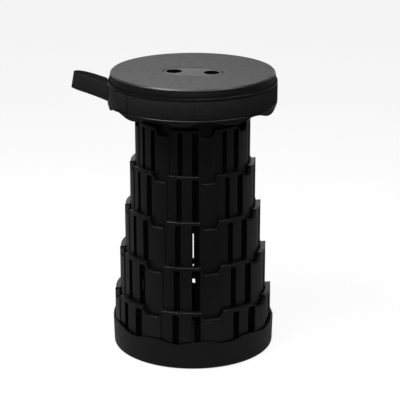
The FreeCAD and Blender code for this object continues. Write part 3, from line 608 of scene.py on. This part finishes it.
# Inner radius of the band, ribs of each run, and the turn that brings its start into place.
BAND_RADIUS = 125.3 * MM
BAND_RIBS, BAND_TURN = 296, 258.4
TAIL_RIBS, TAIL_TURN = 11, -48.0
TAIL_GAP = 0.02 * MM
TAIL_CORNER, CORNER_FACING = 3 * MM, (-0.68, 0, 0.73)

band = straight_webbing("strap_band_webbing", BAND_RIBS, inner=0)
lay_strap(band, hoop(BAND_RADIUS), BAND_TURN)
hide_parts("strap_band")

# The doubled tail lies on the band, its upper corner cut off.
tail = straight_webbing("strap_tail_webbing", TAIL_RIBS, inner=0)
bpy.ops.object.mode_set(mode="EDIT")
bpy.ops.mesh.select_all(action="SELECT")
bpy.ops.mesh.bisect(plane_co=(0, 0, WEBBING_WIDTH / 2 - TAIL_CORNER),
                    plane_no=CORNER_FACING, clear_outer=True, use_fill=True)
bpy.ops.object.mode_set(mode="OBJECT")
lay_strap(tail, hoop(BAND_RADIUS + WEBBING_THICKNESS + TAIL_GAP), TAIL_TURN)

# Path of the carrying loop over the floor plan, in millimetres, and how far its foot leans
# out there, in degrees.
LOOP_PATH = (
    (-127.3, -13.6, 0), (-130.6, -8.0, 0), (-145.6, 14.3, 0), (-160.4, 35.1, 2),
    (-174.0, 53.6, 6), (-182.0, 66.5, 9), (-185.4, 75.0, 10), (-180.6, 80.2, 9),
    (-172.4, 77.3, 6), (-162.8, 68.7, 3), (-152.2, 56.6, 0), (-138.8, 39.3, 0),
    (-131.3, 29.0, 0), (-128.2, 16.0, 0), (-127.0, 6.0, 0), (-126.1, -8.6, 0),
)
LOOP_RIBS = 90

loop = straight_webbing("strap_loop_webbing", LOOP_RIBS, inner=-WEBBING_THICKNESS / 2)
lay_strap(loop, loop_line(LOOP_PATH))
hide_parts("strap_loop")


# Stage: white floor and backdrop, soft lamps

FLOOR_GLOW, FLOOR_MIRRORED = 0.86, 0.08
SHADED_FLOOR, UNSEEN_FLOOR = (0.25, 0.25, 0.25, 1), (0.2, 0.2, 0.2, 1)


def ray_kinds(tree):
    """Sockets that are 1 for what the camera sees, and for what plastic and metal mirror."""
    path = add_node(tree, "ShaderNodeLightPath")
    mirrored = add_node(tree, "ShaderNodeMath", {
        0: path.outputs["Is Glossy Ray"], 1: path.outputs["Is Transmission Ray"]},
        operation="MAXIMUM")
    return path.outputs["Is Camera Ray"], mirrored.outputs[0]


def floor_material():
    """White studio floor: bright to the camera, with the shadow of the stool kept, faint in
    what the stool mirrors, and dark grey to all other light."""
    material, tree = new_material("White floor")
    painted = add_node(tree, "ShaderNodeBsdfDiffuse", {"Color": SHADED_FLOOR})
    glow = add_node(tree, "ShaderNodeEmission", {"Strength": FLOOR_GLOW})
    shown = add_node(tree, "ShaderNodeAddShader", {0: painted.outputs[0], 1: glow.outputs[0]})
    dim = add_node(tree, "ShaderNodeBsdfDiffuse", {"Color": UNSEEN_FLOOR})
    camera_ray, mirrored = ray_kinds(tree)
    share = add_node(tree, "ShaderNodeMath", {0: mirrored, 1: FLOOR_MIRRORED},
                     operation="MULTIPLY")
    seen = add_node(tree, "ShaderNodeMath", {0: camera_ray, 1: share.outputs[0]},
                    operation="MAXIMUM")
    mix = add_node(tree, "ShaderNodeMixShader", {
        "Fac": seen.outputs[0], 1: dim.outputs[0], 2: shown.outputs[0]})
    add_node(tree, "ShaderNodeOutputMaterial", {"Surface": mix.outputs[0]})
    return material


# The floor begins just outside the picture and runs far to the back.
FLOOR_WIDTH, FLOOR_DEPTH, FLOOR_MIDDLE = 8, 5.5, 2.43
FLOOR_DROP = 0.0005

bpy.ops.object.select_all(action="DESELECT")
bpy.ops.mesh.primitive_plane_add(size=1, location=(0, 0, 0))
floor = bpy.context.object
floor.name = "studio_floor"
select_only(floor)
bpy.ops.object.mode_set(mode="EDIT")
bpy.ops.mesh.select_all(action="SELECT")
bpy.ops.transform.resize(value=(FLOOR_WIDTH, FLOOR_DEPTH, 1))
bpy.ops.transform.translate(value=(0, FLOOR_MIDDLE, -FLOOR_DROP))
bpy.ops.object.mode_set(mode="OBJECT")
set_material(floor, floor_material())

# The room is dim all round, white to the camera, and pale towards the back in what the stool
# mirrors.
ROOM_LIGHT, BACKDROP_LIGHT = 0.088, 0.8
BACKDROP_FROM = 0.55

world = bpy.data.worlds.new("Studio")
bpy.context.scene.world = world
world.use_nodes = True
tree = world.node_tree
tree.nodes.clear()
direction = add_node(tree, "ShaderNodeTexCoord").outputs["Generated"]
depth = add_node(tree, "ShaderNodeSeparateXYZ", {"Vector": direction}).outputs["Y"]
backdrop = add_node(tree, "ShaderNodeMapRange", {
    "Value": depth, "From Min": BACKDROP_FROM, "From Max": 1.0, "To Min": ROOM_LIGHT,
    "To Max": BACKDROP_LIGHT})
camera_ray, mirrored = ray_kinds(tree)
reflected = add_node(tree, "ShaderNodeMath", {0: backdrop.outputs[0], 1: mirrored},
                     operation="MULTIPLY")
seen = add_node(tree, "ShaderNodeMath", {0: reflected.outputs[0], 1: camera_ray},
                operation="MAXIMUM")
strength = add_node(tree, "ShaderNodeMath", {0: seen.outputs[0], 1: ROOM_LIGHT},
                    operation="MAXIMUM")
background = add_node(tree, "ShaderNodeBackground", {
    "Color": (1, 1, 1, 1), "Strength": strength.outputs[0]})
add_node(tree, "ShaderNodeOutputWorld", {"Surface": background.outputs[0]})

# Name, place, point that it looks at, width, height and watts of each lamp.
SOFTBOXES = (
    ("Overhead softbox", (0, 0.5, 2.2), (0, 0, 0.4), 1.6, 1.2, 3),
    ("Front top softbox", (-0.15, -0.45, 1.1), (0, 0, 0.4), 0.6, 0.3, 4),
    ("Front strip light", (0, -1.9, 1.35), (0, 0, 0.33), 1.6, 0.25, 8),
    ("Left high softbox", (-0.8, -0.4, 1.6), (0, 0, 0.3), 0.6, 0.6, 12),
    ("Right high softbox", (0.8, -0.4, 1.6), (0, 0, 0.3), 0.6, 0.6, 5),
    ("Rear low softbox", (-0.35, 0.9, 0.85), (0, 0, 0.43), 0.9, 0.3, 0.5),
)

for name, place, target, width, height, watts in SOFTBOXES:
    lamp = bpy.data.lights.new(name, "AREA")
    lamp.shape = "RECTANGLE"
    lamp.size, lamp.size_y = width, height
    lamp.energy = watts
    holder = bpy.data.objects.new(name, lamp)
    bpy.context.scene.collection.objects.link(holder)
    holder.location = place
    aim = Vector(target) - Vector(place)
    holder.rotation_euler = aim.to_track_quat("-Z", "Y").to_euler()

# Long lens on a high stand, looking 18 degrees down.
camera_data = bpy.data.cameras.new("Camera")
camera_data.lens = 133.2
camera_data.sensor_width = 36
camera = bpy.data.objects.new("Camera", camera_data)
bpy.context.scene.collection.objects.link(camera)
camera.location = (0.01073, -2.15955, 0.93011)
camera.rotation_euler = (radians(71.998), 0, 0)
bpy.context.scene.camera = camera
bpy.context.scene.view_settings.view_transform = "Standard"

bpy.context.view_layer.update()
